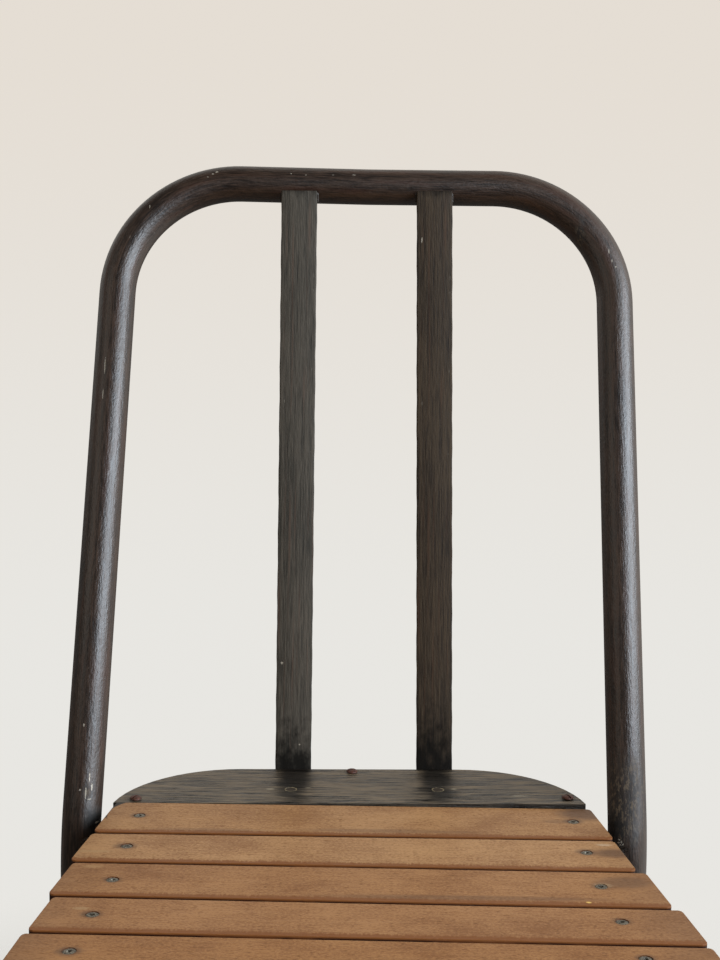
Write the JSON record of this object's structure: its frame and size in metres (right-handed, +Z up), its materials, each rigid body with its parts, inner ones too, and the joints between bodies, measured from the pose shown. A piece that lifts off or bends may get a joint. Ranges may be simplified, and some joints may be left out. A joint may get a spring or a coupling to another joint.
{
  "type": "dining chair",
  "caption": "Dining chair with a bent black steel tube hoop back, two flat upright bars, a dark painted rear seat board and oiled wooden seat slats.",
  "frame": {"origin": "middle of the footprint, on the floor", "axes": "+Z up, +Y towards the backrest, +X to the right when looking from the front of the chair to its back"},
  "size_m": [0.4003, 0.488, 0.8715],
  "materials": {
    "frame_paint": "brushed black paint over steel, semi-gloss, worn",
    "board_paint": "dark brushed paint over wood, semi-gloss",
    "oiled_wood": "oiled wood",
    "screw_steel": "dull steel",
    "rusty_steel": "rusty steel",
    "rubber": "matt rubber"
  },
  "bodies": {
    "root": {"back_bar_left": "frame_paint", "back_bar_right": "frame_paint", "back_hoop": "frame_paint", "board_bolt_left": "screw_steel", "board_bolt_right": "screw_steel", "board_screw_centre": "rusty_steel", "board_screw_left": "rusty_steel", "board_screw_right": "rusty_steel", "board_strap": "frame_paint", "cross_stretcher": "frame_paint", "front_foot_left": "rubber", "front_foot_right": "rubber", "front_leg_left": "frame_paint", "front_leg_right": "frame_paint", "front_rail": "frame_paint", "rear_board": "board_paint", "rear_foot_left": "rubber", "rear_foot_right": "rubber", "seat_lug_left": "frame_paint", "seat_lug_right": "frame_paint", "seat_ring": "frame_paint", "seat_slat_1": "oiled_wood", "seat_slat_2": "oiled_wood", "seat_slat_3": "oiled_wood", "seat_slat_4": "oiled_wood", "seat_slat_5": "oiled_wood", "seat_slat_6": "oiled_wood", "seat_slat_7": "oiled_wood", "side_stretcher_left": "frame_paint", "side_stretcher_right": "frame_paint", "slat_screw_1_left": "screw_steel", "slat_screw_1_right": "screw_steel", "slat_screw_2_left": "screw_steel", "slat_screw_2_right": "screw_steel", "slat_screw_3_left": "screw_steel", "slat_screw_3_right": "screw_steel", "slat_screw_4_left": "screw_steel", "slat_screw_4_right": "screw_steel", "slat_screw_5_left": "screw_steel", "slat_screw_5_right": "screw_steel", "slat_screw_6_left": "screw_steel", "slat_screw_6_right": "screw_steel", "slat_screw_7_left": "screw_steel", "slat_screw_7_right": "screw_steel"}
  },
  "joints": []
}
